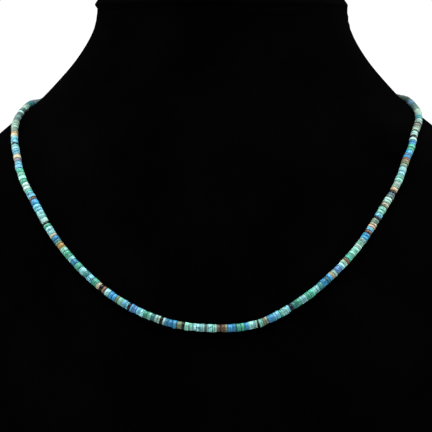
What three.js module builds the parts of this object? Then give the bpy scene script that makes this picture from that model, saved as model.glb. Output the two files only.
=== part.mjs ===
// A string of stone disc beads hanging round a plain display bust, closed by a barrel clasp at the nape.
// Lengths are in millimetres. +Z is up, the chest faces -Y, and +X is to the right in the front view.
// The origin is on the flat foot, under the middle of the neck.
import * as THREE from "three";

// Bust: widths and depths are measured from the upright line through the middle of its neck
const BUST_HEIGHT = 200;
const NECK_HALF_WIDTH = 50;
const NECK_FRONT = 38;
const NECK_BACK = 40;
const SHOULDER_HALF_WIDTH = 104.5;
const CHEST_FRONT = 80;
const SHOULDER_BACK = 55;
const BUST_SIDES = 44;
const BUST_LEVELS = 25;

// The covering's rolled band at the top of the neck, and the rounding of both flat ends
const RIM_HEIGHT = 3.6;
const RIM_PROUD = 0.4;
const TOP_ROUND = 2.4;
const FOOT_ROUND = 1.5;

// Beads: discs cut from stone and strung face to face
const BEAD_DIAMETER = 3;
const BEAD_THICKNESS = 1.65;
const BEAD_SIDES = 10;
const DIAMETER_SPREAD = 0.3;

// Clasp: one turned barrel with tapered ends and a groove round its middle
const CLASP_LENGTH = 12;
const CLASP_DIAMETER = 4.4;
const CLASP_END_DIAMETER = 2.6;
const CLASP_TAPER = 3;
const GROOVE_WIDTH = 0.8;
const GROOVE_DEPTH = 0.25;
const CLASP_SIDES = 14;

// Clearances: under the beads and the clasp, and between the pieces on the thread
const SEAT_GAP = 0.3;
const THREAD_GAP = 0.3;

// Bust sections. height is a share of BUST_HEIGHT. side, front and back are shares of the way out from the
// neck's size to the shoulder's, the chest's and the back's. square is the outline's power, 2 for an ellipse.
const BUST_SECTIONS = [
  { height: 0.0, side: 0.79, front: 0.975, back: 0.0, square: 2.5 },
  { height: 0.15, side: 0.87, front: 1.0, back: 0.27, square: 2.5 },
  { height: 0.3, side: 0.945, front: 0.94, back: 0.57, square: 2.5 },
  { height: 0.45, side: 0.99, front: 0.8, back: 0.85, square: 2.45 },
  { height: 0.575, side: 1.0, front: 0.62, back: 1.0, square: 2.4 },
  { height: 0.66, side: 0.955, front: 0.45, back: 0.97, square: 2.3 },
  { height: 0.735, side: 0.67, front: 0.295, back: 0.83, square: 2.2 },
  { height: 0.785, side: 0.445, front: 0.19, back: 0.635, square: 2.1 },
  { height: 0.825, side: 0.3, front: 0.11, back: 0.44, square: 2.05 },
  { height: 0.875, side: 0.145, front: 0.05, back: 0.235, square: 2.0 },
  { height: 0.925, side: 0.035, front: 0.01, back: 0.095, square: 2.0 },
  { height: 0.96, side: 0.0, front: 0.0, back: 0.035, square: 2.0 },
  { height: 1.0, side: 0.0, front: 0.0, back: 0.0, square: 2.0 },
];

// The string's way round the bust. turn is in degrees from the middle of the chest, positive to the right,
// and height is a share of BUST_HEIGHT.
const STRING_ROUTE = [
  { turn: -180, height: 0.853 },
  { turn: -140, height: 0.827 },
  { turn: -105, height: 0.785 },
  { turn: -90, height: 0.778 },
  { turn: -78, height: 0.761 },
  { turn: -65, height: 0.732 },
  { turn: -56, height: 0.705 },
  { turn: -48, height: 0.673 },
  { turn: -40, height: 0.613 },
  { turn: -32, height: 0.535 },
  { turn: -24, height: 0.47 },
  { turn: -16, height: 0.42 },
  { turn: -8, height: 0.387 },
  { turn: -3, height: 0.377 },
  { turn: 1, height: 0.376 },
  { turn: 4.4, height: 0.383 },
  { turn: 5, height: 0.385 },
  { turn: 9, height: 0.406 },
  { turn: 16, height: 0.452 },
  { turn: 24, height: 0.519 },
  { turn: 32, height: 0.6 },
  { turn: 40, height: 0.669 },
  { turn: 48, height: 0.704 },
  { turn: 56, height: 0.731 },
  { turn: 65, height: 0.75 },
  { turn: 78, height: 0.772 },
  { turn: 90, height: 0.79 },
  { turn: 105, height: 0.797 },
  { turn: 140, height: 0.829 },
  { turn: 180, height: 0.853 },
];
const ROUTE_STEP = 0.5;

// Turns where the string bends and its thread shows, and where it starts to lift towards the thicker clasp
const BEND_TURN = 4.6;
const LIFT_TURN = 140;

// Hand-cut beads differ: these shares repeat along the string, and no two neighbours are cut alike
const THICKNESS_SHARES = [1.0, 0.84, 1.14, 0.94, 1.1, 0.8, 1.22, 0.96];
const DIAMETER_SHARES = [0.0, 0.8, 0.3, 1.0, 0.45, 0.9, 0.4];

// Colours and finishes
const velvet = new THREE.MeshStandardMaterial({ color: 0x08080a, roughness: 0.95, metalness: 0 });
const stone = new THREE.MeshStandardMaterial({ color: 0x6fb9b4, roughness: 0.35, metalness: 0 });
const silver = new THREE.MeshStandardMaterial({ color: 0xc9c9c6, roughness: 0.3, metalness: 1 });

// Reads a table's column at a place along another column, on a smooth curve through its rows.
function readTable(rows, along, place, column) {
  const last = rows.length - 1;
  let i = 0;
  while (i < last - 1 && rows[i + 1][along] < place) {
    i++;
  }
  const slope = (k) => {
    const before = rows[Math.max(k - 1, 0)];
    const after = rows[Math.min(k + 1, last)];
    return (after[column] - before[column]) / (after[along] - before[along]);
  };
  const span = rows[i + 1][along] - rows[i][along];
  const t = (place - rows[i][along]) / span;
  const ease = t * t * (3 - 2 * t);
  return (
    rows[i][column] * (1 - ease) +
    rows[i + 1][column] * ease +
    span * (t * (1 - t) * (1 - t) * slope(i) - t * t * (1 - t) * slope(i + 1))
  );
}

// The value at a place between two matched, rising lists.
function between(places, values, place) {
  let i = 0;
  while (i < places.length - 2 && places[i + 1] < place) {
    i++;
  }
  const share = (place - places[i]) / (places[i + 1] - places[i]);
  return values[i] + (values[i + 1] - values[i]) * share;
}

// The bust's surface at a turn in degrees and a height, pulled in towards its middle line by inset.
function bustPoint(turn, height, inset = 0) {
  const read = (column) => readTable(BUST_SECTIONS, "height", height / BUST_HEIGHT, column);
  const side = NECK_HALF_WIDTH + (SHOULDER_HALF_WIDTH - NECK_HALF_WIDTH) * read("side");
  const front = NECK_FRONT + (CHEST_FRONT - NECK_FRONT) * read("front");
  const back = NECK_BACK + (SHOULDER_BACK - NECK_BACK) * read("back");
  const power = 2 / read("square");
  const across = Math.sin(THREE.MathUtils.degToRad(turn));
  const ahead = Math.cos(THREE.MathUtils.degToRad(turn));
  const depth = ahead > 0 ? front : back;
  return new THREE.Vector3(
    (side - inset) * Math.sign(across) * Math.abs(across) ** power,
    -(depth - inset) * Math.sign(ahead) * Math.abs(ahead) ** power,
    height,
  );
}

// The direction straight out of the bust's surface.
function bustOutward(turn, height) {
  const step = 0.5;
  const round = bustPoint(turn + step, height).sub(bustPoint(turn - step, height));
  const up = bustPoint(turn, height + step).sub(bustPoint(turn, height - step));
  return round.cross(up).normalize();
}

// The string's height at a turn.
function stringHeight(turn) {
  return BUST_HEIGHT * readTable(STRING_ROUTE, "turn", turn, "height");
}

// How far the middle of the straight clasp would sink into the rounded nape if only its ends were seated.
function claspBow() {
  const height = stringHeight(180);
  const halfTurn = Math.asin(CLASP_LENGTH / 2 / bustPoint(90, height).x);
  return bustPoint(180, height).y - bustPoint(180 - THREE.MathUtils.radToDeg(halfTurn), height).y;
}
const beadSeat = BEAD_DIAMETER / 2 + SEAT_GAP;
const claspSeat = CLASP_DIAMETER / 2 + SEAT_GAP + claspBow();

// The string's middle line at a turn: it lies on the bust and lifts off a little to reach the clasp's middle.
function stringPoint(turn) {
  const height = stringHeight(turn);
  const lift = THREE.MathUtils.smoothstep(Math.abs(turn), LIFT_TURN, 180);
  const seat = beadSeat + (claspSeat - beadSeat) * lift;
  return bustPoint(turn, height).addScaledVector(bustOutward(turn, height), seat);
}

// Lengths along the string's middle line, from the nape over the left shoulder and back to the nape
const routeTurns = [-180];
const routeLengths = [0];
for (let turn = -180 + ROUTE_STEP; turn <= 180; turn += ROUTE_STEP) {
  const stretch = stringPoint(turn).distanceTo(stringPoint(turn - ROUTE_STEP));
  routeTurns.push(turn);
  routeLengths.push(routeLengths[routeLengths.length - 1] + stretch);
}
const loopLength = routeLengths[routeLengths.length - 1];
const bendLength = between(routeTurns, routeLengths, BEND_TURN);

// A place on the string with two directions square to it: out of the bust, and across.
function stringFrame(length) {
  const turn = between(routeLengths, routeTurns, length);
  const step = ROUTE_STEP / 2;
  const middle = stringPoint(turn);
  const along = stringPoint(turn + step).sub(stringPoint(turn - step)).normalize();
  const out = bustOutward(turn, stringHeight(turn));
  out.addScaledVector(along, -out.dot(along)).normalize();
  const across = new THREE.Vector3().crossVectors(along, out);
  return { middle, out, across };
}

// A closed body of rings: a lathe sets up rings and sides, and place(ring, share of a turn) moves each vertex.
function ringBody(ringCount, sides, place) {
  const profile = [];
  for (let ring = 0; ring < ringCount; ring++) {
    const onAxis = ring === 0 || ring === ringCount - 1;
    profile.push(new THREE.Vector2(onAxis ? 0 : 1, ring));
  }
  const geometry = new THREE.LatheGeometry(profile, sides);
  const position = geometry.attributes.position;
  for (let side = 0; side <= sides; side++) {
    for (let ring = 0; ring < ringCount; ring++) {
      const point = place(ring, side / sides);
      position.setXYZ(side * ringCount + ring, point.x, point.y, point.z);
    }
  }
  geometry.computeVertexNormals();
  return geometry;
}

// The bust, from the middle of its foot to the middle of its top.
function makeBust() {
  const rimBottom = BUST_HEIGHT - RIM_HEIGHT;
  const rings = [
    { height: 0, axis: true },
    { height: 0, inset: FOOT_ROUND },
  ];
  for (let level = 0; level <= BUST_LEVELS; level++) {
    const share = level / BUST_LEVELS;
    rings.push({ height: FOOT_ROUND + (rimBottom - RIM_PROUD - FOOT_ROUND) * share, inset: 0 });
  }
  rings.push({ height: rimBottom, inset: -RIM_PROUD });
  rings.push({ height: BUST_HEIGHT - TOP_ROUND, inset: -RIM_PROUD });
  rings.push({ height: BUST_HEIGHT - TOP_ROUND * 0.3, inset: TOP_ROUND * 0.3 - RIM_PROUD });
  rings.push({ height: BUST_HEIGHT, inset: TOP_ROUND - RIM_PROUD });
  rings.push({ height: BUST_HEIGHT, axis: true });
  const geometry = ringBody(rings.length, BUST_SIDES, (ring, share) => {
    const { height, inset, axis } = rings[ring];
    return axis ? new THREE.Vector3(0, 0, height) : bustPoint(360 * share, height, inset);
  });
  const mesh = new THREE.Mesh(geometry, velvet);
  mesh.name = "neck_bust";
  return mesh;
}

// One stretch of the string as one body: each bead is a disc of its own thickness and diameter.
function makeString(name, start, end) {
  const length = end - start;
  const count = Math.round(length / BEAD_THICKNESS);
  const shareOf = (bead) => THICKNESS_SHARES[bead % THICKNESS_SHARES.length];
  let shares = 0;
  for (let bead = 0; bead < count; bead++) {
    shares += shareOf(bead);
  }
  const rings = [{ at: start, radius: 0 }];
  let at = start;
  for (let bead = 0; bead < count; bead++) {
    const cut = DIAMETER_SPREAD * DIAMETER_SHARES[bead % DIAMETER_SHARES.length];
    const radius = (BEAD_DIAMETER - cut) / 2;
    rings.push({ at, radius });
    at += (length * shareOf(bead)) / shares;
    rings.push({ at, radius });
  }
  rings.push({ at: end, radius: 0 });
  const frames = rings.map((ring) => stringFrame(ring.at));
  const geometry = ringBody(rings.length, BEAD_SIDES, (ring, share) => {
    const { middle, out, across } = frames[ring];
    const angle = 2 * Math.PI * share;
    return middle
      .clone()
      .addScaledVector(across, rings[ring].radius * Math.sin(angle))
      .addScaledVector(out, rings[ring].radius * Math.cos(angle));
  });
  const mesh = new THREE.Mesh(geometry, stone);
  mesh.name = name;
  return mesh;
}

// The clasp: a straight barrel between the string's two ends.
function makeClasp() {
  const leftEnd = stringFrame(CLASP_LENGTH / 2).middle;
  const rightEnd = stringFrame(loopLength - CLASP_LENGTH / 2).middle;
  const half = leftEnd.distanceTo(rightEnd) / 2;
  const endRadius = CLASP_END_DIAMETER / 2;
  const barrelRadius = CLASP_DIAMETER / 2;
  const profile = [
    [0, -half],
    [endRadius, -half],
    [barrelRadius, CLASP_TAPER - half],
    [barrelRadius, -GROOVE_WIDTH / 2],
    [barrelRadius - GROOVE_DEPTH, -GROOVE_WIDTH / 4],
    [barrelRadius - GROOVE_DEPTH, GROOVE_WIDTH / 4],
    [barrelRadius, GROOVE_WIDTH / 2],
    [barrelRadius, half - CLASP_TAPER],
    [endRadius, half],
    [0, half],
  ].map(([radius, along]) => new THREE.Vector2(radius, along));
  const mesh = new THREE.Mesh(new THREE.LatheGeometry(profile, CLASP_SIDES), silver);
  mesh.name = "clasp";
  mesh.position.addVectors(leftEnd, rightEnd).multiplyScalar(0.5);
  const along = new THREE.Vector3().subVectors(leftEnd, rightEnd).normalize();
  mesh.quaternion.setFromUnitVectors(new THREE.Vector3(0, 1, 0), along);
  return mesh;
}

const claspEnd = CLASP_LENGTH / 2 + THREAD_GAP;

const group = new THREE.Group();
group.add(makeBust());
group.add(makeString("bead_string_left", claspEnd, bendLength - THREAD_GAP / 2));
group.add(makeString("bead_string_right", bendLength + THREAD_GAP / 2, loopLength - claspEnd));
group.add(makeClasp());

export default group;
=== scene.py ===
"""A string of stone disc beads hanging round a velvet display bust, made round the packed frame.

Lengths are in metres. +Z is up, the chest faces -Y, and +X is to the right in the front view.
"""

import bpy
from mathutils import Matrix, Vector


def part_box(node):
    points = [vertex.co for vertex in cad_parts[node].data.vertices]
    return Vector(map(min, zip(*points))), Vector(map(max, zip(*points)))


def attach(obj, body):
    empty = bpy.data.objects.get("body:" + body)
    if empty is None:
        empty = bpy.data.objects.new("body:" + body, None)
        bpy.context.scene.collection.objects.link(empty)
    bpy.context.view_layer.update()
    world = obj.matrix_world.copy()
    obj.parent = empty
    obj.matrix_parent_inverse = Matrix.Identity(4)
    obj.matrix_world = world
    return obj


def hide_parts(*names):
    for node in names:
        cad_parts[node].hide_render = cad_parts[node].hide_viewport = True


bl_info = {
    "name": "Beaded Necklace on a Neck Bust",
    "version": (1, 0, 0),
    "blender": (4, 5, 0),
    "location": "3D View > Sidebar > Necklace",
    "description": "Strings disc beads round a velvet-covered display bust",
    "category": "Add Mesh",
}

import math
import random
from collections import namedtuple

import bmesh
import bpy
from bpy.props import FloatProperty, FloatVectorProperty, IntProperty, PointerProperty
from mathutils import Matrix, Vector

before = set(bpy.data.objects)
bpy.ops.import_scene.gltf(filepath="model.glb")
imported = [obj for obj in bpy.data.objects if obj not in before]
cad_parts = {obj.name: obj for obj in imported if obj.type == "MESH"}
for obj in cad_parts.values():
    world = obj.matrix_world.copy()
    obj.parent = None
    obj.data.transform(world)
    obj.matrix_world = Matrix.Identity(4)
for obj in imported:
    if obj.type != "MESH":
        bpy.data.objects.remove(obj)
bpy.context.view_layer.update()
bust_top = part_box("neck_bust")[1].z

MM = 0.001

# Sides round each piece, and steps along the bust. RIM_CROWDING draws the steps together at its top.
BUST_SIDES = 168
BUST_LEVELS = 120
FOOT_STEPS = 6
RIM_STEPS = 44
RIM_CROWDING = 1.3
CLASP_SIDES = 48
THREAD_SIDES = 8

# Bust sections. height is a share of the bust's height. side, front and back are shares of the way out from
# the neck's size to the shoulder's, the chest's and the back's. square is the outline's power.
Section = namedtuple("Section", "height side front back square")
BUST_SECTIONS = [
    Section(0.0, 0.79, 0.975, 0.0, 2.5),
    Section(0.15, 0.87, 1.0, 0.27, 2.5),
    Section(0.3, 0.945, 0.94, 0.57, 2.5),
    Section(0.45, 0.99, 0.8, 0.85, 2.45),
    Section(0.575, 1.0, 0.62, 1.0, 2.4),
    Section(0.66, 0.955, 0.45, 0.97, 2.3),
    Section(0.735, 0.67, 0.295, 0.83, 2.2),
    Section(0.785, 0.445, 0.19, 0.635, 2.1),
    Section(0.825, 0.3, 0.11, 0.44, 2.05),
    Section(0.875, 0.145, 0.05, 0.235, 2.0),
    Section(0.925, 0.035, 0.01, 0.095, 2.0),
    Section(0.96, 0.0, 0.0, 0.035, 2.0),
    Section(1.0, 0.0, 0.0, 0.0, 2.0),
]

# The string's way round the bust. turn is in degrees from the middle of the chest, positive to the right.
Stop = namedtuple("Stop", "turn height")
STRING_ROUTE = [
    Stop(-180, 0.853),
    Stop(-140, 0.827),
    Stop(-105, 0.785),
    Stop(-90, 0.778),
    Stop(-78, 0.761),
    Stop(-65, 0.732),
    Stop(-56, 0.705),
    Stop(-48, 0.673),
    Stop(-40, 0.613),
    Stop(-32, 0.535),
    Stop(-24, 0.47),
    Stop(-16, 0.42),
    Stop(-8, 0.387),
    Stop(-3, 0.377),
    Stop(1, 0.376),
    Stop(4.4, 0.383),
    Stop(5, 0.385),
    Stop(9, 0.406),
    Stop(16, 0.452),
    Stop(24, 0.519),
    Stop(32, 0.6),
    Stop(40, 0.669),
    Stop(48, 0.704),
    Stop(56, 0.731),
    Stop(65, 0.75),
    Stop(78, 0.772),
    Stop(90, 0.79),
    Stop(105, 0.797),
    Stop(140, 0.829),
    Stop(180, 0.853),
]
ROUTE_STEP = 0.5
LIFT_TURN = 140.0
BEND_TURN = 4.6

# The rolled band at the neck's top. drop is a share of the band's height below the top, and proud a share
# of how far the band stands out. Below it lie a tuck and the covering's faint creases.
RimStep = namedtuple("RimStep", "drop proud")
RIM_SHAPE = [
    RimStep(0.0, -7.0),
    RimStep(0.11, -4.9),
    RimStep(0.28, -2.9),
    RimStep(0.42, -1.9),
    RimStep(0.56, -1.0),
    RimStep(0.72, 0.1),
    RimStep(0.86, 0.8),
    RimStep(0.98, 1.0),
    RimStep(1.1, 0.7),
    RimStep(1.22, 0.2),
    RimStep(1.39, -0.3),
    RimStep(1.56, -0.12),
    RimStep(1.78, 0.0),
    RimStep(2.2, 0.0),
]

# The creases start and end softly at drops given in band heights. They drift up and down round the neck, and
# are deepest at CREASE_PEAKS places. The band's shift to the side fades out down to BAND_FOOT.
CREASE_START = (1.0, 1.6)
CREASE_END = (3.0, 5.0)
CREASE_DRIFT = 0.9
CREASE_PEAKS = 5
BAND_FOOT = 1.5

# The order the stones are strung in, from the nape over the left shoulder. Each stretch starts at a turn.
# A tone's number is the length in millimetres that its beads fill, and the lengths are fitted to the stretch.
# Near both shoulder tops the slate, slate blue and moss beads are partly their own grey-green and partly
# painted shade, darker where the string turns away from the lights. The thin black beads are partly
# near-black stone and partly painted shade, standing in for the shadowed gaps between beads.
Stretch = namedtuple("Stretch", "turn tones")
STRINGING = [
    Stretch(-180, "mixed 1"),
    # Up to the left shoulder's top the slate beads are partly their own grey-green and partly painted shade,
    # dimmer where the string turns away from the lights.
    Stretch(-106, "slate 7.5, violet_grey 4, slate_blue 3, teal 4.5, sage 3.5, pearl 2, slate 3"),
    Stretch(-78.3, "pearl 1.5, slate 3.5, pearl 1.5, slate 3, sage 8"),
    Stretch(-62, "tan 3, ice 1.5, sky 3, black 1, ice 3, sky 2.5, cream 2"),
    Stretch(
        -48.4,
        "violet_grey 1.5, sky 3.5, sea 2, mint 3.5, sea 2, pearl 3.5, sea 1, sky 3, umber 1, blue 2.5, "
        "sky 3",
    ),
    Stretch(
        -36.7,
        "ice 3.5, pearl 2, black 1, sea 1.5, ice 3.5, cream 1, blue 2, teal 1, olive 1, ochre 2, "
        "mint 2, sea 3",
    ),
    Stretch(-27.8, "ice 1.5, blue 2.5, sea 2.5, ice 2.5, teal 2, sky 2.5, sea 2.5, cream 1.5"),
    Stretch(-20.7, "black 1, umber 1, ice 1.5"),
    Stretch(
        -18.6,
        "blue 3, olive 1, mint 2, sky 2.5, black 1, violet 2.5, sky 1.5, ice 1.5, sea 1.5, mint 1.5, "
        "teal 1.5",
    ),
    Stretch(
        -9.6,
        "pearl 2, black 1, pearl 1, blue 4.5, olive 2, black 1, mint 3, ice 4.5, slate 1, ice 2, mint 1.5",
    ),
    Stretch(-0.4, "umber 3, olive 1, blue 3.5, sea 3, blue 1.5, ice 2.5, pearl 1"),
    Stretch(
        4.6,
        "mint 1.5, olive 1, cream 1, blue 2.5, sky 2.5, sea 1, ice 2.5, sky 1, black 1, teal 1.5, sea 2.5",
    ),
    Stretch(12, "ice 2.5, sea 3.5, ice 2.5, teal 2, blue 2, teal 1, blue 1.5, tan 1, pearl 1.5, violet 2.5"),
    Stretch(
        20.1,
        "ice 1.5, sage 1.5, umber 1, sea 2, mint 4, pearl 1.5, mint 1.5, pearl 1.5, blue 2.5, umber 1.5, "
        "sky 1.5, tan 1, cream 1",
    ),
    Stretch(
        28.3,
        "sage 2, black 1, sky 1.5, mint 3, olive 1, cream 1, pearl 2.5, slate 1.5, slate_blue 1, black 1, "
        "tan 1.5, sage 1",
    ),
    Stretch(35.2, "sage 2, mint 3, ice 4, sage 1.5, olive 1, tan 1, umber 1, blue 1.5, slate_blue 1, blue 2"),
    Stretch(45.2, "sea 3.5, blue 2.5, pearl 1.5, black 1.5, pearl 2.5"),
    Stretch(54.8, "black 1, sage 3, umber 1, sage 1, black 1, sage 4, teal 3, sage 3"),
    # Over the right shoulder's top the slate, slate blue and moss beads are darker as painted shade, where
    # the string turns away from the lights; the moss beads are all painted shade.
    Stretch(71.6, "sage 4, slate 6, slate_blue 5, moss 18"),
    Stretch(106, "mixed 1"),
    Stretch(180, ""),
]

# How far a bead's bands lie from those of a bead whose own number is one less.
BAND_SHIFT = 0.05

# The tones out of sight at the nape, and how strongly the dark matrix shows in the tones that it veins most.
MIXED_TONES = ["sky", "mint", "ice", "sea", "blue", "mint", "pearl", "teal", "ice", "umber", "sky", "olive"]
VEINED_TONES = {
    "ice": 0.7, "pearl": 0.6, "sky": 0.9, "blue": 0.7, "mint": 0.5, "slate": 0.9, "violet": 0.8, "black": 0.0,
}
OTHER_VEINS = 0.3

# How uneven the beads are. A spread is the lowest and highest share of a bead's mean thickness, of its
# tone's light, of each part of its colour, and of its width. A joint takes one share of the mean joint.
THICKNESS_SPREAD = (0.8, 1.2)
LIGHT_SPREAD = (0.68, 1.2)
TINT_SPREAD = (0.95, 1.05)
WIDTH_SPREAD = (0.985, 1)
JOINT_SHARES = (0.4, 0.6, 1.0, 1.6)

# How far a bead may sit beside the string's middle line, as a share of its diameter. Each bead's own number
# lies between 0 and LARGEST_NUMBER, and sets where its clouds, bands and veins fall.
SHIFT_SHARE = 0.02
LARGEST_NUMBER = 40

# The soft lights' sizes and places, in metres. The side light's twin stands across from it on the left.
SIDE_LIGHT_SIZE = 1.3
SIDE_LIGHT_PLACE = (1.7, 0.36, 1.0)
TOP_LIGHT_SIZE = 1.4
TOP_LIGHT_PLACE = (0.0, -0.55, 2.15)


def length_value(name, description, millimetres, lowest=0.0):
    """A length that a user can change."""
    return FloatProperty(
        name=name, description=description, default=millimetres * MM, min=lowest, unit="LENGTH", precision=5
    )


def screen(red, green, blue):
    """The linear colour of one given as it looks on a screen, from 0 to 255."""
    return [((c / 255 + 0.055) / 1.055) ** 2.4 if c > 10 else c / 255 / 12.92 for c in (red, green, blue)]


def colour_value(name, description, red, green, blue):
    """A colour that a user can change, given as it looks on a screen."""
    return FloatVectorProperty(
        name=name, description=description, subtype="COLOR", size=3, min=0.0, max=1.0,
        default=screen(red, green, blue),
    )


class BustSettings(bpy.types.PropertyGroup):
    """Sizes and colours of the display bust"""

    height: FloatProperty(
        name="Height", description="Foot to the top of the neck", default=bust_top, min=0.05, unit="LENGTH"
    )
    neck_half_width: length_value("Neck Half Width", "Middle of the neck to its side", 50)
    neck_front: length_value("Neck Front", "Middle of the neck to its front", 38)
    neck_back: length_value("Neck Back", "Middle of the neck to its back", 40)
    shoulder_half_width: length_value("Shoulder Half Width", "Middle of the neck to the widest side", 104.5)
    chest_front: length_value("Chest Front", "Middle of the neck to the fullest chest", 80)
    shoulder_back: length_value("Shoulder Back", "Middle of the neck to the fullest back", 55)
    rim_height: length_value("Rim Height", "Height of the rolled band at the neck's top", 3.6)
    rim_proud: length_value("Rim Proud", "How far the rolled band stands out", 0.4)
    rim_shift: length_value("Rim Shift", "How far the rolled band sits to the left of the neck's middle", 0.4)
    foot_round: length_value("Foot Round", "Rounding of the foot's edge", 1.5)
    crease_depth: length_value("Crease Depth", "Depth of the covering's creases under the band", 0.14)
    crease_spacing: length_value("Crease Spacing", "Distance between the covering's creases", 3.4)
    velvet: colour_value("Velvet", "Colour of the velvet's nap", 1, 1, 1)
    # The lighter colour where the nap lies the other way is painted sheen.
    velvet_brushed: colour_value("Brushed Velvet", "Colour where the nap lies the other way", 3, 3, 3)


class BeadSettings(bpy.types.PropertyGroup):
    """Sizes of the beads and their thread"""

    diameter: length_value("Diameter", "Diameter of the largest beads", 3)
    thickness: length_value("Thickness", "Mean thickness of a bead", 1.65)
    diameter_spread: length_value("Diameter Spread", "How much smaller the smallest beads are", 0.36)
    hole: length_value("Hole", "Diameter of the drilled hole", 0.8)
    edge_round: length_value("Edge Round", "Rounding of a bead's edges", 0.1)
    thread: length_value("Thread", "Diameter of the thread", 0.5)
    joint: length_value("Joint", "Mean space between two beads", 0.09)
    nap_press: length_value("Nap Press", "How deep the largest beads press into the velvet's nap", 0.12)
    seat_gap: length_value("Seat Gap", "Space under the clasp", 0.3)
    thread_gap: length_value("Thread Gap", "Bare thread beside the clasp", 0.3)
    bend_gap: length_value("Bend Gap", "Bare thread at the bend", 0.6)
    sides: IntProperty(name="Sides", description="Sides round a bead", default=16, min=8, max=48)
    wobble: FloatProperty(
        name="Wobble", description="How far a bead may lean on its thread", default=math.radians(3.0),
        min=0.0, subtype="ANGLE",
    )
    seed: IntProperty(name="Seed", description="Order of the unevenness", default=7, min=0)


class StoneSettings(bpy.types.PropertyGroup):
    """Tones of the stones, and the dark matrix that veins them"""

    sky: colour_value("Sky", "Light blue stone", 106, 182, 206)
    blue: colour_value("Blue", "Strong blue stone", 54, 138, 184)
    violet: colour_value("Violet", "Violet blue stone", 84, 142, 190)
    ice: colour_value("Ice", "Palest blue-green stone", 136, 202, 204)
    mint: colour_value("Mint", "Pale green stone", 126, 196, 178)
    sea: colour_value("Sea Green", "Strong green stone", 68, 158, 132)
    teal: colour_value("Teal", "Dark blue-green stone", 52, 122, 126)
    pearl: colour_value("Pearl", "Palest mint stone", 154, 196, 184)
    cream: colour_value("Cream", "Yellow-white stone", 192, 184, 154)
    tan: colour_value("Tan", "Pale orange-brown stone", 190, 166, 132)
    ochre: colour_value("Ochre", "Golden brown stone", 152, 124, 68)
    umber: colour_value("Umber", "Red-brown stone", 98, 76, 58)
    olive: colour_value("Olive", "Green-brown stone", 104, 122, 92)
    sage: colour_value("Sage", "Pale grey-green stone", 134, 164, 150)
    slate: colour_value("Slate", "Grey-green stone", 92, 120, 116)
    # Moss is a dark grey-green strung only over the right shoulder's top, as painted shade where the string
    # turns away from the lights.
    moss: colour_value("Moss", "Dark grey-green stone", 66, 86, 80)
    slate_blue: colour_value("Slate Blue", "Grey-blue stone", 84, 114, 136)
    violet_grey: colour_value("Violet Grey", "Grey-violet stone", 130, 138, 150)
    # Black is partly near-black stone and partly painted shade: its thin beads stand in for the shadowed gaps
    # between beads.
    black: colour_value("Black", "Near-black stone", 4, 6, 5)
    matrix: colour_value("Matrix", "Veins in the stone", 16, 24, 26)


class ClaspSettings(bpy.types.PropertyGroup):
    """Sizes and colour of the barrel clasp"""

    length: length_value("Length", "Length of the barrel", 12)
    diameter: length_value("Diameter", "Diameter of the barrel", 4.4)
    end_diameter: length_value("End Diameter", "Diameter of its ends", 2.6)
    taper: length_value("Taper", "Length of each tapered end", 3)
    groove_width: length_value("Groove Width", "Width of the groove round its middle", 0.8)
    groove_depth: length_value("Groove Depth", "Depth of that groove", 0.25)
    edge_round: length_value("Edge Round", "Rounding of its edges", 0.12)
    metal: colour_value("Metal", "Colour of the metal", 214, 213, 209)


class StudioSettings(bpy.types.PropertyGroup):
    """Camera, lights and floor"""

    camera_distance: FloatProperty(
        name="Distance", description="Camera to its aim", default=0.9, unit="LENGTH"
    )
    camera_rise: FloatProperty(
        name="Rise", description="How far the camera looks down", default=math.radians(3), subtype="ANGLE"
    )
    camera_roll: FloatProperty(
        name="Roll", description="How far the camera leans to its side", default=math.radians(0.25),
        subtype="ANGLE",
    )
    aim_side: length_value("Aim Side", "The aim's place beside the neck's middle", -2.2, -1.0)
    aim_height: length_value("Aim Height", "The aim's height above the foot", 112.6)
    pixel: length_value("Pixel", "Width of the bust that one pixel shows", 0.4)
    image_width: IntProperty(name="Image Width", description="Pixels across the image", default=432)
    floor_width: FloatProperty(name="Floor", description="Width of the floor", default=2.4, unit="LENGTH")
    backdrop: FloatProperty(name="Backdrop", description="Brightness behind the bust", default=1.05, min=0.0)
    ambience: FloatProperty(name="Ambience", description="Light from all round", default=0.01, min=0.0)
    side_power: FloatProperty(
        name="Side Lights", description="Light from high on the left and the right", default=52.0,
        unit="POWER",
    )
    top_power: FloatProperty(
        name="Top Light", description="Light from above the chest", default=108.0, unit="POWER"
    )


def read_table(rows, along, place, column):
    """A table's column at a place along another column, on a smooth curve through its rows."""
    last = len(rows) - 1
    i = 0
    while i < last - 1 and getattr(rows[i + 1], along) < place:
        i += 1

    def value(k, name):
        return getattr(rows[k], name)

    def slope(k):
        before, after = max(k - 1, 0), min(k + 1, last)
        return (value(after, column) - value(before, column)) / (value(after, along) - value(before, along))

    span = value(i + 1, along) - value(i, along)
    t = (place - value(i, along)) / span
    ease = t * t * (3 - 2 * t)
    return (
        value(i, column) * (1 - ease)
        + value(i + 1, column) * ease
        + span * (t * (1 - t) * (1 - t) * slope(i) - t * t * (1 - t) * slope(i + 1))
    )


def between(places, values, place):
    """The value at a place between two matched, rising lists."""
    i = 0
    while i < len(places) - 2 and places[i + 1] < place:
        i += 1
    share = (place - places[i]) / (places[i + 1] - places[i])
    return values[i] + (values[i + 1] - values[i]) * share


def signed_power(value, power):
    """A power that keeps its base's sign."""
    return math.copysign(abs(value) ** power, value)


def smooth_rise(value, low, high):
    """0 below low, 1 above high, and a soft step between."""
    t = min(max((value - low) / (high - low), 0.0), 1.0)
    return t * t * (3 - 2 * t)


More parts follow.
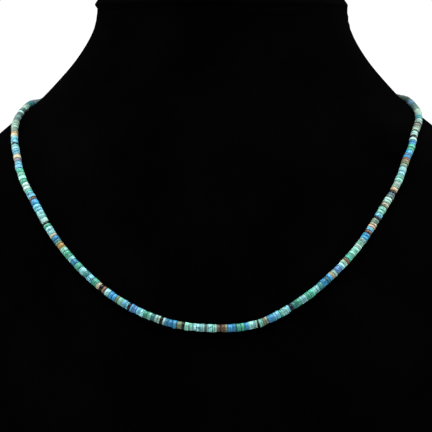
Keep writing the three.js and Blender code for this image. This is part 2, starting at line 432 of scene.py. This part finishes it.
def bust_point(bust, turn, height, inset=0.0):
    """The bust's surface at a turn in degrees and a height, pulled in towards its middle line by inset."""

    def reach(column, neck, shoulder):
        return neck + (shoulder - neck) * read_table(BUST_SECTIONS, "height", height / bust.height, column)

    side = reach("side", bust.neck_half_width, bust.shoulder_half_width)
    front = reach("front", bust.neck_front, bust.chest_front)
    back = reach("back", bust.neck_back, bust.shoulder_back)
    power = 2 / read_table(BUST_SECTIONS, "height", height / bust.height, "square")
    across = math.sin(math.radians(turn))
    ahead = math.cos(math.radians(turn))
    depth = front if ahead > 0 else back
    return Vector((
        (side - inset) * signed_power(across, power),
        -(depth - inset) * signed_power(ahead, power),
        height,
    ))


def bust_outward(bust, turn, height):
    """The direction straight out of the bust's surface."""
    around = bust_point(bust, turn + 0.5, height) - bust_point(bust, turn - 0.5, height)
    up = bust_point(bust, turn, height + 0.5 * MM) - bust_point(bust, turn, height - 0.5 * MM)
    return around.cross(up).normalized()


def string_height(bust, turn):
    """The string's height at a turn."""
    return bust.height * read_table(STRING_ROUTE, "turn", turn, "height")


class StringLine:
    """The string's middle line round the bust, measured from the nape over the left shoulder."""

    def __init__(self, bust, beads, clasp):
        self.bust = bust
        nape = string_height(bust, 180)
        half_turn = math.degrees(math.asin(clasp.length / 2 / bust_point(bust, 90, nape).x))
        bow = bust_point(bust, 180, nape).y - bust_point(bust, 180 - half_turn, nape).y
        self.bead_seat = beads.diameter / 2 - beads.nap_press
        self.clasp_seat = clasp.diameter / 2 + beads.seat_gap + bow
        count = round(360 / ROUTE_STEP)
        self.turns = [-180 + ROUTE_STEP * step for step in range(count + 1)]
        points = [self.point(turn) for turn in self.turns]
        self.lengths = [0.0]
        for before, after in zip(points, points[1:]):
            self.lengths.append(self.lengths[-1] + (after - before).length)
        self.loop = self.lengths[-1]

    def point(self, turn):
        """The middle line at a turn: it lies on the bust and lifts a little to reach the clasp's middle."""
        height = string_height(self.bust, turn)
        lift = smooth_rise(abs(turn), LIFT_TURN, 180)
        seat = self.bead_seat + (self.clasp_seat - self.bead_seat) * lift
        return bust_point(self.bust, turn, height) + bust_outward(self.bust, turn, height) * seat

    def turn_at(self, length):
        """The turn at a length along the string."""
        return between(self.lengths, self.turns, length)

    def length_at(self, turn):
        """The length along the string at a turn."""
        return between(self.turns, self.lengths, turn)

    def place(self, length):
        """The point at a length, the string's direction there, and the direction out of the bust."""
        turn = self.turn_at(length)
        step = ROUTE_STEP / 2
        along = (self.point(turn + step) - self.point(turn - step)).normalized()
        out = bust_outward(self.bust, turn, string_height(self.bust, turn))
        out = (out - along * out.dot(along)).normalized()
        return self.point(turn), along, out


def string_line(context):
    """The string's middle line for the present settings."""
    scene = context.scene
    return StringLine(scene.neck_bust_settings, scene.bead_settings, scene.clasp_settings)


def ring_mesh(name, rings, sides, place):
    """A closed mesh of rings: place(ring, share of a turn) gives each vertex. Each end meets in a point."""
    mesh = bpy.data.meshes.new(name)
    shape = bmesh.new()
    rows = []
    for index, ring in enumerate(rings):
        if index in (0, len(rings) - 1):
            rows.append([shape.verts.new(place(ring, 0.0))])
        else:
            rows.append([shape.verts.new(place(ring, side / sides)) for side in range(sides)])
    for lower, upper in zip(rows, rows[1:]):
        for side in range(sides):
            following = (side + 1) % sides
            corners = [lower[side % len(lower)], lower[following % len(lower)]]
            corners += [upper[following % len(upper)], upper[side % len(upper)]]
            shape.faces.new(list(dict.fromkeys(corners)))
    bmesh.ops.recalc_face_normals(shape, faces=shape.faces)
    for face in shape.faces:
        face.smooth = True
    shape.to_mesh(mesh)
    shape.free()
    return mesh


def add_piece(name, mesh, material, node_names):
    """Puts a finished mesh in the scene on the part's one body, in place of its CAD nodes."""
    mesh.materials.clear()
    mesh.materials.append(material)
    piece = bpy.data.objects.new(name, mesh)
    bpy.context.scene.collection.objects.link(piece)
    finish_piece(piece, node_names)


def finish_piece(piece, node_names):
    """Rides a piece on the part's one body, in place of its CAD nodes."""
    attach(piece, "root")
    if node_names:
        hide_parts(*node_names)


class Nodes:
    """Adds and links the nodes of one tree."""

    def __init__(self, tree):
        self.tree = tree

    def add(self, kind, settings=None, **inputs):
        """A node with some of its settings and inputs set. An input may be another node's output."""
        node = self.tree.nodes.new(kind)
        for name, value in (settings or {}).items():
            setattr(node, name, value)
        for name, value in inputs.items():
            self.put(node, name.replace("_", " "), value)
        return node

    def put(self, node, name, value):
        """Sets or links one input, found by its name or its number."""
        socket = node.inputs[int(name)] if name.isdigit() else node.inputs[name]
        if isinstance(value, bpy.types.NodeSocket):
            self.tree.links.new(value, socket)
        else:
            socket.default_value = value

    def calculate(self, operation, *values):
        """The result of an operation on values. Each may be another node's output."""
        node = self.add("ShaderNodeMath", {"operation": operation})
        for index, value in enumerate(values):
            self.put(node, str(index), value)
        return node.outputs[0]

    def mix(self, factor, first, second, blend="MIX"):
        """Two colours blended by a factor."""
        node = self.add("ShaderNodeMix", {"data_type": "RGBA", "blend_type": blend})
        for name, value in (("0", factor), ("6", first), ("7", second)):
            self.put(node, name, value)
        return node.outputs[2]

    def ramp(self, value, low, high):
        """A colour between two ends, each a value and its red, green and blue."""
        node = self.add("ShaderNodeValToRGB", Fac=value)
        for end, (place, *colour) in zip(node.color_ramp.elements, (low, high)):
            end.position = place
            end.color = (*colour, 1.0)
        return node.outputs["Color"]


def new_material(name):
    """A material with only its output and a Principled shader, and the helper that adds to it."""
    material = bpy.data.materials.new(name)
    material.use_nodes = True
    tree = material.node_tree
    tree.nodes.clear()
    nodes = Nodes(tree)
    shader = nodes.add("ShaderNodeBsdfPrincipled")
    nodes.add("ShaderNodeOutputMaterial", Surface=shader.outputs["BSDF"])
    return material, nodes, shader


def rub_marks_group():
    """Shader group shared by the polished surfaces: roughness made uneven by handling, and its relief."""
    name = "Rub Marks"
    if name in bpy.data.node_groups:
        return bpy.data.node_groups[name]
    tree = bpy.data.node_groups.new(name, "ShaderNodeTree")
    for label, default in (("Scale", 1000.0), ("Roughness", 0.3), ("Amount", 0.1)):
        socket = tree.interface.new_socket(label, in_out="INPUT", socket_type="NodeSocketFloat")
        socket.default_value = default
    tree.interface.new_socket("Vector", in_out="INPUT", socket_type="NodeSocketVector")
    tree.interface.new_socket("Roughness", in_out="OUTPUT", socket_type="NodeSocketFloat")
    tree.interface.new_socket("Height", in_out="OUTPUT", socket_type="NodeSocketFloat")
    nodes = Nodes(tree)
    given = nodes.add("NodeGroupInput")
    noise = nodes.add(
        "ShaderNodeTexNoise", Vector=given.outputs["Vector"], Scale=given.outputs["Scale"], Detail=3.0
    )
    centred = nodes.calculate("SUBTRACT", noise.outputs["Fac"], 0.5)
    swing = nodes.calculate("MULTIPLY", centred, given.outputs["Amount"])
    rough = nodes.calculate("ADD", swing, given.outputs["Roughness"])
    nodes.add("NodeGroupOutput", Roughness=rough, Height=noise.outputs["Fac"])
    return tree


def add_rub_marks(nodes, shader, vector, scale, roughness, amount, relief):
    """Places the shared group in a material, for its roughness and a slight relief."""
    marks = nodes.add(
        "ShaderNodeGroup", {"node_tree": rub_marks_group()}, Vector=vector, Scale=scale,
        Roughness=roughness, Amount=amount,
    )
    nodes.put(shader, "Roughness", marks.outputs["Roughness"])
    bump = nodes.add("ShaderNodeBump", Height=marks.outputs["Height"], Strength=relief, Distance=0.02 * MM)
    nodes.put(shader, "Normal", bump.outputs["Normal"])


def velvet_material(bust):
    """Black velvet: a short dense nap that lies in slowly changing directions, lighter in patches as painted
    sheen.
    """
    material, nodes, shader = new_material("black_velvet")
    place = nodes.add("ShaderNodeTexCoord").outputs["Object"]
    drift = nodes.add("ShaderNodeTexNoise", Vector=place, Scale=28.0, Detail=2.0, Roughness=0.5)
    nap = nodes.add("ShaderNodeTexNoise", Vector=place, Scale=2600.0, Detail=2.0, Roughness=0.6)
    both = nodes.calculate("MULTIPLY", drift.outputs["Fac"], nap.outputs["Fac"])
    # Painted sheen: patches of the nap get a lighter base colour.
    painted_sheen_share = nodes.add("ShaderNodeMapRange", Value=both, From_Min=0.12, From_Max=0.42)
    colour = nodes.mix(painted_sheen_share.outputs["Result"], (*bust.velvet, 1.0), (*bust.velvet_brushed, 1.0))
    nodes.put(shader, "Base Color", colour)
    rough = nodes.add("ShaderNodeMapRange", Value=nap.outputs["Fac"], To_Min=0.85, To_Max=1.0)
    nodes.put(shader, "Roughness", rough.outputs["Result"])
    bump = nodes.add("ShaderNodeBump", Height=nap.outputs["Fac"], Strength=0.5, Distance=0.12 * MM)
    nodes.put(shader, "Normal", bump.outputs["Normal"])
    shader.inputs["Specular IOR Level"].default_value = 0.0
    shader.inputs["Sheen Weight"].default_value = 0.0015
    shader.inputs["Sheen Roughness"].default_value = 0.35
    return material


def stone_material(stones):
    """Polished stone: each bead's own tone, clouded, banded across the string and crossed by dark matrix."""
    material, nodes, shader = new_material("bead_stone")
    place = nodes.add("ShaderNodeTexCoord").outputs["Object"]
    tone = nodes.add("ShaderNodeAttribute", {"attribute_name": "bead_tone"}).outputs["Color"]
    own = nodes.add("ShaderNodeAttribute", {"attribute_name": "bead_number"}).outputs["Fac"]
    vein_share = nodes.add("ShaderNodeAttribute", {"attribute_name": "bead_veins"}).outputs["Fac"]
    along = nodes.add("ShaderNodeAttribute", {"attribute_name": "bead_along"}).outputs["Vector"]
    clouds = nodes.add(
        "ShaderNodeTexNoise", {"noise_dimensions": "4D"}, Vector=place, W=own, Scale=520.0, Detail=3.0,
        Roughness=0.55, Distortion=0.6,
    )
    cloud_tint = nodes.ramp(clouds.outputs["Fac"], (0.3, 0.5, 0.56, 0.55), (0.68, 1.25, 1.2, 1.2))
    clouded = nodes.mix(1.0, tone, cloud_tint, "MULTIPLY")
    layer = nodes.add("ShaderNodeVectorMath", {"operation": "DOT_PRODUCT"})
    nodes.put(layer, "0", place)
    nodes.put(layer, "1", along)
    shifted = nodes.calculate("MULTIPLY_ADD", own, BAND_SHIFT, layer.outputs["Value"])
    bands = nodes.add("ShaderNodeTexNoise", {"noise_dimensions": "1D"}, W=shifted, Scale=1500.0, Detail=2.0)
    band_tint = nodes.ramp(bands.outputs["Fac"], (0.34, 0.42, 0.46, 0.5), (0.6, 1.12, 1.1, 1.08))
    banded = nodes.mix(1.0, clouded, band_tint, "MULTIPLY")
    web = nodes.add(
        "ShaderNodeTexVoronoi", {"voronoi_dimensions": "4D", "feature": "DISTANCE_TO_EDGE"}, Vector=place,
        W=own, Scale=330.0,
    )
    vein = nodes.add(
        "ShaderNodeMapRange", Value=web.outputs["Distance"], From_Min=0.01, From_Max=0.07, To_Min=1.0,
        To_Max=0.0,
    )
    vein_mask = nodes.calculate("MULTIPLY", vein.outputs["Result"], vein_share)
    nodes.put(shader, "Base Color", nodes.mix(vein_mask, banded, (*stones.matrix, 1.0)))
    add_rub_marks(nodes, shader, place, scale=2400.0, roughness=0.36, amount=0.2, relief=0.1)
    shader.inputs["Specular IOR Level"].default_value = 0.2
    return material


def thread_material():
    """Dark twisted thread."""
    material, nodes, shader = new_material("dark_thread")
    place = nodes.add("ShaderNodeTexCoord").outputs["Object"]
    twist = nodes.add("ShaderNodeTexNoise", Vector=place, Scale=5200.0, Detail=1.0)
    colour = nodes.ramp(twist.outputs["Fac"], (0.0, 0.006, 0.006, 0.006), (1.0, 0.035, 0.033, 0.03))
    nodes.put(shader, "Base Color", colour)
    bump = nodes.add("ShaderNodeBump", Height=twist.outputs["Fac"], Strength=0.6, Distance=0.05 * MM)
    nodes.put(shader, "Normal", bump.outputs["Normal"])
    shader.inputs["Roughness"].default_value = 0.7
    return material


def silver_material(clasp):
    """Polished silver, slightly dulled by handling."""
    material, nodes, shader = new_material("clasp_silver")
    place = nodes.add("ShaderNodeTexCoord").outputs["Object"]
    tarnish = nodes.add("ShaderNodeTexNoise", Vector=place, Scale=420.0, Detail=4.0)
    dull = [0.72 * part for part in clasp.metal]
    nodes.put(shader, "Base Color", nodes.mix(tarnish.outputs["Fac"], (*clasp.metal, 1.0), (*dull, 1.0)))
    shader.inputs["Metallic"].default_value = 1.0
    add_rub_marks(nodes, shader, place, scale=1500.0, roughness=0.24, amount=0.3, relief=0.2)
    return material


def floor_material():
    """Plain pale floor."""
    material, nodes, shader = new_material("pale_floor")
    place = nodes.add("ShaderNodeTexCoord").outputs["Object"]
    grain = nodes.add("ShaderNodeTexNoise", Vector=place, Scale=60.0, Detail=2.0)
    colour = nodes.mix(grain.outputs["Fac"], (0.46, 0.46, 0.46, 1.0), (0.5, 0.5, 0.5, 1.0))
    nodes.put(shader, "Base Color", colour)
    shader.inputs["Roughness"].default_value = 0.8
    return material


def new_geometry_tree(name, lengths, counts=()):
    """A geometry tree with a geometry socket each way, named lengths and counts, and a material."""
    tree = bpy.data.node_groups.new(name, "GeometryNodeTree")
    tree.interface.new_socket("Geometry", in_out="INPUT", socket_type="NodeSocketGeometry")
    for label in lengths:
        tree.interface.new_socket(label, in_out="INPUT", socket_type="NodeSocketFloat")
    for label in counts:
        tree.interface.new_socket(label, in_out="INPUT", socket_type="NodeSocketInt")
    tree.interface.new_socket("Material", in_out="INPUT", socket_type="NodeSocketMaterial")
    tree.interface.new_socket("Geometry", in_out="OUTPUT", socket_type="NodeSocketGeometry")
    nodes = Nodes(tree)
    given = nodes.add("NodeGroupInput").outputs
    return tree, nodes, given


def end_geometry_tree(nodes, geometry, material):
    """Ends a tree: real, smooth faces with their material."""
    real = nodes.add("GeometryNodeRealizeInstances", Geometry=geometry)
    smooth = nodes.add("GeometryNodeSetShadeSmooth", Geometry=real.outputs["Geometry"])
    finished = nodes.add("GeometryNodeSetMaterial", Geometry=smooth.outputs["Geometry"], Material=material)
    nodes.add("NodeGroupOutput", Geometry=finished.outputs["Geometry"])


def bead_tree():
    """Geometry tree that threads a drilled disc with rounded edges on each of its points."""
    tree, nodes, given = new_geometry_tree(
        "Strung Beads", ("Diameter", "Hole", "Thickness", "Edge Round", "Wobble"), ("Sides", "Seed")
    )
    wall = nodes.calculate("MULTIPLY", nodes.calculate("SUBTRACT", given["Diameter"], given["Hole"]), 0.5)
    middle = nodes.calculate("MULTIPLY", nodes.calculate("ADD", given["Diameter"], given["Hole"]), 0.25)
    section = nodes.add(
        "GeometryNodeCurvePrimitiveQuadrilateral", Width=wall, Height=given["Thickness"]
    )
    rounded = nodes.add(
        "GeometryNodeFilletCurve", {"mode": "POLY"}, Curve=section.outputs["Curve"], Count=1,
        Radius=given["Edge Round"],
    )
    around = nodes.add("GeometryNodeCurvePrimitiveCircle", Resolution=given["Sides"], Radius=middle)
    disc = nodes.add(
        "GeometryNodeCurveToMesh", Curve=around.outputs["Curve"],
        **{"Profile Curve": rounded.outputs["Curve"]},
    )
    named = {}
    for label in ("bead_along", "bead_out", "bead_scale"):
        named[label] = nodes.add("GeometryNodeInputNamedAttribute", {"data_type": "FLOAT_VECTOR"}, Name=label)
    facing = nodes.add("FunctionNodeAxesToRotation", {"primary_axis": "Z", "secondary_axis": "X"})
    nodes.put(facing, "0", named["bead_along"].outputs["Attribute"])
    nodes.put(facing, "1", named["bead_out"].outputs["Attribute"])
    lean_back = nodes.calculate("MULTIPLY", given["Wobble"], -1.0)
    lowest = nodes.add("ShaderNodeCombineXYZ", X=lean_back, Y=lean_back, Z=0.0)
    highest = nodes.add("ShaderNodeCombineXYZ", X=given["Wobble"], Y=given["Wobble"], Z=2 * math.pi)
    lean = nodes.add("FunctionNodeRandomValue", {"data_type": "FLOAT_VECTOR"})
    nodes.put(lean, "Min", lowest.outputs["Vector"])
    nodes.put(lean, "Max", highest.outputs["Vector"])
    nodes.put(lean, "Seed", given["Seed"])
    leaning = nodes.add("FunctionNodeEulerToRotation", Euler=lean.outputs["Value"])
    turned = nodes.add("FunctionNodeRotateRotation", {"rotation_space": "LOCAL"})
    nodes.put(turned, "0", facing.outputs["Rotation"])
    nodes.put(turned, "1", leaning.outputs["Rotation"])
    strung = nodes.add(
        "GeometryNodeInstanceOnPoints", Points=given["Geometry"], Instance=disc.outputs["Mesh"],
        Rotation=turned.outputs["Rotation"], Scale=named["bead_scale"].outputs["Attribute"],
    )
    end_geometry_tree(nodes, strung.outputs["Instances"], given["Material"])
    return tree


def thread_tree():
    """Geometry tree that sweeps a round thread along its edges."""
    tree, nodes, given = new_geometry_tree("Thread", ("Radius",), ("Sides",))
    line = nodes.add("GeometryNodeMeshToCurve", Mesh=given["Geometry"])
    section = nodes.add("GeometryNodeCurvePrimitiveCircle", Resolution=given["Sides"], Radius=given["Radius"])
    swept = nodes.add(
        "GeometryNodeCurveToMesh", Curve=line.outputs["Curve"], **{"Profile Curve": section.outputs["Curve"]}
    )
    nodes.put(swept, "Fill Caps", True)
    end_geometry_tree(nodes, swept.outputs["Mesh"], given["Material"])
    return tree


def run_tree(name, mesh, tree, values):
    """An object with the plain mesh that a geometry tree makes of a mesh."""
    piece = bpy.data.objects.new(name, mesh)
    bpy.context.scene.collection.objects.link(piece)
    modifier = piece.modifiers.new(tree.name, "NODES")
    modifier.node_group = tree
    for item in tree.interface.items_tree:
        if item.item_type == "SOCKET" and item.in_out == "INPUT" and item.name in values:
            modifier[item.identifier] = values[item.name]
    graph = bpy.context.evaluated_depsgraph_get()
    result = bpy.data.meshes.new_from_object(
        piece.evaluated_get(graph), preserve_all_data_layers=True, depsgraph=graph
    )
    piece.modifiers.remove(modifier)
    if not result.polygons:
        raise RuntimeError(tree.name + " made no faces")
    piece.data = result
    result.name = name
    return piece


def bust_rings(bust):
    """Height and inset of each ring of the bust, from the middle of its foot to the middle of its top."""
    rings = [(0.0, None)]
    for step in range(FOOT_STEPS + 1):
        angle = math.radians(90 * step / FOOT_STEPS)
        rings.append((bust.foot_round * (1 - math.cos(angle)), bust.foot_round * (1 - math.sin(angle))))
    rim_start = bust.height - RIM_SHAPE[-1].drop * bust.rim_height
    for level in range(1, BUST_LEVELS):
        rings.append((bust.foot_round + (rim_start - bust.foot_round) * level / BUST_LEVELS, 0.0))
    for step in range(RIM_STEPS + 1):
        drop = RIM_SHAPE[-1].drop * (1 - step / RIM_STEPS) ** RIM_CROWDING
        proud = read_table(RIM_SHAPE, "drop", drop, "proud")
        rings.append((bust.height - drop * bust.rim_height, -proud * bust.rim_proud))
    rings.append((bust.height, None))
    return rings


class NECKLACE_OT_neck_bust(bpy.types.Operator):
    """Makes the display bust with its rolled band and velvet covering"""

    bl_idname = "necklace.neck_bust"
    bl_label = "Neck Bust"

    def execute(self, context):
        bust = context.scene.neck_bust_settings

        def place(ring, share):
            height, inset = ring
            if inset is None:
                return Vector((0.0, 0.0, height))
            turn = 360 * share
            below_top = bust.height - height
            drop = below_top / bust.rim_height
            near_rim = smooth_rise(drop, *CREASE_START) * (1 - smooth_rise(drop, *CREASE_END))
            drift = CREASE_DRIFT * math.sin(math.radians(2 * turn + 40))
            wave = math.sin(2 * math.pi * below_top / bust.crease_spacing + drift)
            wave *= 0.6 + 0.4 * math.sin(math.radians(CREASE_PEAKS * turn))
            point = bust_point(bust, turn, height, inset - bust.crease_depth * near_rim * wave)
            point.x -= bust.rim_shift * (1 - smooth_rise(drop, 1.0, BAND_FOOT))
            return point

        mesh = ring_mesh("velvet_bust", bust_rings(bust), BUST_SIDES, place)
        add_piece("velvet_bust", mesh, velvet_material(bust), ["neck_bust"])
        return {"FINISHED"}


def bead_runs(line, start, end):
    """Each run of like beads between two lengths: its tone, and where it starts and ends along the string."""
    for stretch, following in zip(STRINGING, STRINGING[1:]):
        low = max(line.length_at(stretch.turn), start)
        high = min(line.length_at(following.turn), end)
        if high - low < MM:
            continue
        parts = [part.split() for part in stretch.tones.split(", ")]
        whole = sum(float(length) for tone, length in parts)
        at = low
        for tone, length in parts:
            after = at + (high - low) * float(length) / whole
            yield tone, at, after
            at = after


def bead_points(line, beads, stones, start, end, draw):
    """The points of one stretch of beads, each with its place, directions, sizes and tone."""
    points = []
    for tone, low, high in bead_runs(line, start, end):
        count = max(round((high - low) / beads.thickness), 1)
        shares = [draw.uniform(*THICKNESS_SPREAD) for bead in range(count)]
        at = low
        for share in shares:
            thickness = (high - low) * share / sum(shares)
            points.append(bead_point(line, beads, stones, tone, at, thickness, draw))
            at += thickness
    return points


def bead_point(line, beads, stones, tone, at, thickness, draw):
    """One bead: its middle, directions, sizes, tone, veins and number."""
    if tone == "mixed":
        tone = draw.choice(MIXED_TONES)
    middle, along, out = line.place(at + thickness / 2)
    across = along.cross(out)
    shift = SHIFT_SHARE * beads.diameter
    middle = middle + out * draw.uniform(-0.5, 0.5) * shift + across * draw.uniform(-1, 1) * shift
    width = 1 - draw.random() * beads.diameter_spread / beads.diameter
    scale = (width * draw.uniform(*WIDTH_SPREAD), width * draw.uniform(*WIDTH_SPREAD))
    long_scale = (thickness - beads.joint * draw.choice(JOINT_SHARES)) / beads.thickness
    light = draw.uniform(*LIGHT_SPREAD)
    colour = [light * part * draw.uniform(*TINT_SPREAD) for part in getattr(stones, tone)]
    return {
        "middle": middle,
        "bead_along": along,
        "bead_out": out,
        "bead_scale": (*scale, long_scale),
        "bead_tone": (*colour, 1.0),
        "bead_veins": VEINED_TONES.get(tone, OTHER_VEINS) * draw.random(),
        "bead_number": draw.uniform(0, LARGEST_NUMBER),
    }


ATTRIBUTE_KINDS = {
    "bead_along": ("FLOAT_VECTOR", "vector"),
    "bead_out": ("FLOAT_VECTOR", "vector"),
    "bead_scale": ("FLOAT_VECTOR", "vector"),
    "bead_tone": ("FLOAT_COLOR", "color"),
    "bead_veins": ("FLOAT", "value"),
    "bead_number": ("FLOAT", "value"),
}


class NECKLACE_OT_beads(bpy.types.Operator):
    """Strings the stone beads in their two stretches, left and right of the bend"""

    bl_idname = "necklace.beads"
    bl_label = "Stone Beads"

    def execute(self, context):
        scene = context.scene
        beads, clasp, stones = scene.bead_settings, scene.clasp_settings, scene.stone_settings
        line = string_line(context)
        material = stone_material(stones)
        tree = bead_tree()
        draw = random.Random(beads.seed)
        bend = line.length_at(BEND_TURN)
        clasp_end = clasp.length / 2 + beads.thread_gap
        stretches = {
            "left": (clasp_end, bend - beads.bend_gap / 2),
            "right": (bend + beads.bend_gap / 2, line.loop - clasp_end),
        }
        for side, (start, end) in stretches.items():
            points = bead_points(line, beads, stones, start, end, draw)
            mesh = bpy.data.meshes.new("bead_points_" + side)
            mesh.from_pydata([point["middle"] for point in points], [], [])
            for name, (kind, field) in ATTRIBUTE_KINDS.items():
                layer = mesh.attributes.new(name, kind, "POINT")
                for item, point in zip(layer.data, points):
                    setattr(item, field, point[name])
            values = {
                "Diameter": beads.diameter,
                "Hole": beads.hole,
                "Thickness": beads.thickness,
                "Edge Round": beads.edge_round,
                "Wobble": beads.wobble,
                "Sides": beads.sides,
                "Seed": beads.seed,
                "Material": material,
            }
            piece = run_tree("stone_beads_" + side, mesh, tree, values)
            finish_piece(piece, ["bead_string_" + side])
        return {"FINISHED"}


class NECKLACE_OT_thread(bpy.types.Operator):
    """Runs the thread through all the beads and into both ends of the clasp"""

    bl_idname = "necklace.thread"
    bl_label = "Thread"

    def execute(self, context):
        scene = context.scene
        beads, clasp = scene.bead_settings, scene.clasp_settings
        line = string_line(context)
        inside = clasp.length / 2 - 0.5 * clasp.taper
        turns = [turn for turn in line.turns if inside < line.length_at(turn) < line.loop - inside]
        mesh = bpy.data.meshes.new("thread_line")
        edges = [(index, index + 1) for index in range(len(turns) - 1)]
        mesh.from_pydata([line.point(turn) for turn in turns], edges, [])
        values = {"Radius": beads.thread / 2, "Sides": THREAD_SIDES, "Material": thread_material()}
        piece = run_tree("thread", mesh, thread_tree(), values)
        finish_piece(piece, [])
        return {"FINISHED"}


class NECKLACE_OT_clasp(bpy.types.Operator):
    """Makes the barrel clasp at the nape"""

    bl_idname = "necklace.clasp"
    bl_label = "Clasp"

    def execute(self, context):
        clasp = context.scene.clasp_settings
        line = string_line(context)
        left = line.place(clasp.length / 2)[0]
        right = line.place(line.loop - clasp.length / 2)[0]
        half = (right - left).length / 2
        along = (right - left).normalized()
        out = Vector((0.0, 0.0, 1.0))
        across = along.cross(out).normalized()
        middle = (left + right) / 2
        end, barrel = clasp.end_diameter / 2, clasp.diameter / 2
        groove = clasp.groove_width / 2
        soft = clasp.edge_round
        half_profile = [
            (half, None),
            (half, end - soft),
            (half - 0.3 * soft, end - 0.3 * soft),
            (half - soft, end + 0.2 * soft),
            (half - clasp.taper + 2 * soft, barrel - soft),
            (half - clasp.taper, barrel - 0.1 * soft),
            (half - clasp.taper - 2 * soft, barrel),
            (groove + soft, barrel),
            (groove + 0.3 * soft, barrel - 0.3 * soft),
            (groove / 2, barrel - clasp.groove_depth),
        ]
        rings = [(-place, radius) for place, radius in half_profile]
        rings += list(reversed(half_profile))

        def place(ring, share):
            at, radius = ring
            angle = 2 * math.pi * share
            side = across * math.cos(angle) + out * math.sin(angle)
            return middle + along * at + side * (radius or 0.0)

        mesh = ring_mesh("barrel_clasp", rings, CLASP_SIDES, place)
        add_piece("barrel_clasp", mesh, silver_material(clasp), ["clasp"])
        return {"FINISHED"}


def add_area_light(name, power, size, place, aim):
    """A square soft light at a place, facing an aim."""
    light = bpy.data.lights.new(name, "AREA")
    light.energy = power
    light.size = size
    holder = bpy.data.objects.new(name, light)
    bpy.context.scene.collection.objects.link(holder)
    holder.location = place
    holder.rotation_euler = (Vector(aim) - Vector(place)).to_track_quat("-Z", "Y").to_euler()


class NECKLACE_OT_studio(bpy.types.Operator):
    """Sets the camera, the soft lights, the pale floor and the white backdrop"""

    bl_idname = "necklace.studio"
    bl_label = "Studio"

    def execute(self, context):
        scene = context.scene
        studio = scene.studio_settings
        aim = Vector((studio.aim_side, 0.0, studio.aim_height))
        forward = Vector((0.0, math.cos(studio.camera_rise), -math.sin(studio.camera_rise)))
        level = Vector((1.0, 0.0, 0.0))
        upright = level.cross(forward)
        right = level * math.cos(studio.camera_roll) + upright * math.sin(studio.camera_roll)
        camera = bpy.data.cameras.new("camera")
        camera.lens = camera.sensor_width * studio.camera_distance / (studio.pixel * studio.image_width)
        camera.clip_start = 0.01
        holder = bpy.data.objects.new("camera", camera)
        scene.collection.objects.link(holder)
        holder.location = aim - forward * studio.camera_distance
        holder.rotation_euler = Matrix((right, right.cross(forward), -forward)).transposed().to_euler()
        scene.camera = holder

        side, behind, above = SIDE_LIGHT_PLACE
        add_area_light("left_light", studio.side_power, SIDE_LIGHT_SIZE, (-side, behind, above), aim)
        add_area_light("right_light", studio.side_power, SIDE_LIGHT_SIZE, SIDE_LIGHT_PLACE, aim)
        add_area_light("top_light", studio.top_power, TOP_LIGHT_SIZE, TOP_LIGHT_PLACE, aim)

        half = studio.floor_width / 2
        mesh = bpy.data.meshes.new("floor")
        corners = [(-half, -half, 0.0), (half, -half, 0.0), (half, half, 0.0), (-half, half, 0.0)]
        mesh.from_pydata(corners, [], [(0, 1, 2, 3)])
        mesh.materials.append(floor_material())
        floor = bpy.data.objects.new("floor", mesh)
        scene.collection.objects.link(floor)

        world = bpy.data.worlds.new("white_studio")
        world.use_nodes = True
        world.node_tree.nodes.clear()
        nodes = Nodes(world.node_tree)
        seen = nodes.add("ShaderNodeLightPath").outputs["Is Camera Ray"]
        strength = nodes.add(
            "ShaderNodeMapRange", Value=seen, To_Min=studio.ambience, To_Max=studio.backdrop
        )
        light = nodes.add(
            "ShaderNodeBackground", Strength=strength.outputs["Result"], Color=(1.0, 1.0, 1.0, 1.0)
        )
        nodes.add("ShaderNodeOutputWorld", Surface=light.outputs["Background"])
        scene.world = world
        scene.view_settings.view_transform = "Standard"
        return {"FINISHED"}


class NECKLACE_PT_panel(bpy.types.Panel):
    """Lists the settings and the operators that make each piece"""

    bl_idname = "NECKLACE_PT_panel"
    bl_label = "Necklace"
    bl_space_type = "VIEW_3D"
    bl_region_type = "UI"
    bl_category = "Necklace"

    def draw(self, context):
        for name, settings in SETTINGS.items():
            box = self.layout.box()
            box.label(text=settings.__doc__)
            group = getattr(context.scene, name)
            for key in settings.__annotations__:
                box.prop(group, key)
        for operator in OPERATORS:
            self.layout.operator(operator.bl_idname)


SETTINGS = {
    "neck_bust_settings": BustSettings,
    "bead_settings": BeadSettings,
    "stone_settings": StoneSettings,
    "clasp_settings": ClaspSettings,
    "studio_settings": StudioSettings,
}
OPERATORS = [
    NECKLACE_OT_studio,
    NECKLACE_OT_neck_bust,
    NECKLACE_OT_thread,
    NECKLACE_OT_beads,
    NECKLACE_OT_clasp,
]


def register():
    """Adds the settings, the operators and the panel to Blender."""
    for name, settings in SETTINGS.items():
        bpy.utils.register_class(settings)
        setattr(bpy.types.Scene, name, PointerProperty(type=settings))
    for operator in OPERATORS:
        bpy.utils.register_class(operator)
    bpy.utils.register_class(NECKLACE_PT_panel)


def unregister():
    """Takes the panel, the operators and the settings out of Blender."""
    bpy.utils.unregister_class(NECKLACE_PT_panel)
    for operator in reversed(OPERATORS):
        bpy.utils.unregister_class(operator)
    for name, settings in reversed(SETTINGS.items()):
        delattr(bpy.types.Scene, name)
        bpy.utils.unregister_class(settings)


def main():
    """Makes every piece in order."""
    register()
    bpy.ops.necklace.studio()
    bpy.ops.necklace.neck_bust()
    bpy.ops.necklace.thread()
    bpy.ops.necklace.beads()
    bpy.ops.necklace.clasp()


if __name__ == "__main__":
    main()
